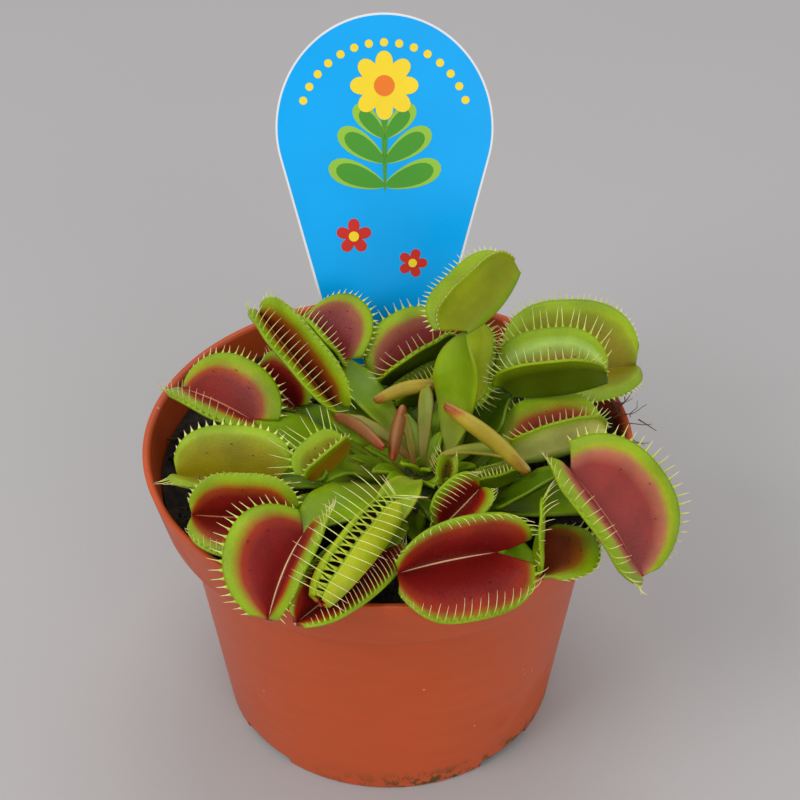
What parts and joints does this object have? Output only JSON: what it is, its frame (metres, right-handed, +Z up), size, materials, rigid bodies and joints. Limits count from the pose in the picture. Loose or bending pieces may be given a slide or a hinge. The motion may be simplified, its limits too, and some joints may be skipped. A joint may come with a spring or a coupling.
{
  "type": "potted venus flytrap",
  "caption": "Round terracotta-coloured plastic nursery pot of peat with a low rosette of winged leaves that end in toothed snap traps, and a round-headed stake label.",
  "frame": {"origin": "centre of the pot's flat base", "axes": "+Z up through the pot, -Y towards the side that the label faces, +X to the right seen from there"},
  "size_m": [0.1305, 0.1349, 0.163],
  "materials": {
    "terracotta_plastic": "satin moulded plastic",
    "peat": "moist fibrous peat",
    "crown_skin": "smooth leaf bases",
    "label_print": "printed plastic",
    "leaf_green": "waxy leaf"
  },
  "bodies": {
    "root": {"pot": "terracotta_plastic", "soil": "peat", "crown": "crown_skin", "plant_label": "label_print", "leaf_01": "leaf_green", "leaf_02": "leaf_green", "leaf_03": "leaf_green", "leaf_04": "leaf_green", "leaf_05": "leaf_green", "leaf_06": "leaf_green", "leaf_07": "leaf_green", "leaf_08": "leaf_green", "leaf_09": "leaf_green", "leaf_10": "leaf_green", "leaf_11": "leaf_green", "leaf_12": "leaf_green", "leaf_13": "leaf_green", "leaf_14": "leaf_green", "leaf_15": "leaf_green", "leaf_16": "leaf_green", "leaf_17": "leaf_green", "leaf_18": "leaf_green", "leaf_19": "leaf_green", "leaf_20": "leaf_green", "leaf_21": "leaf_green", "leaf_22": "leaf_green", "leaf_23": "leaf_green", "young_leaf_1": "leaf_green", "young_leaf_2": "leaf_green", "young_leaf_3": "leaf_green", "young_leaf_4": "leaf_green"}
  },
  "joints": []
}
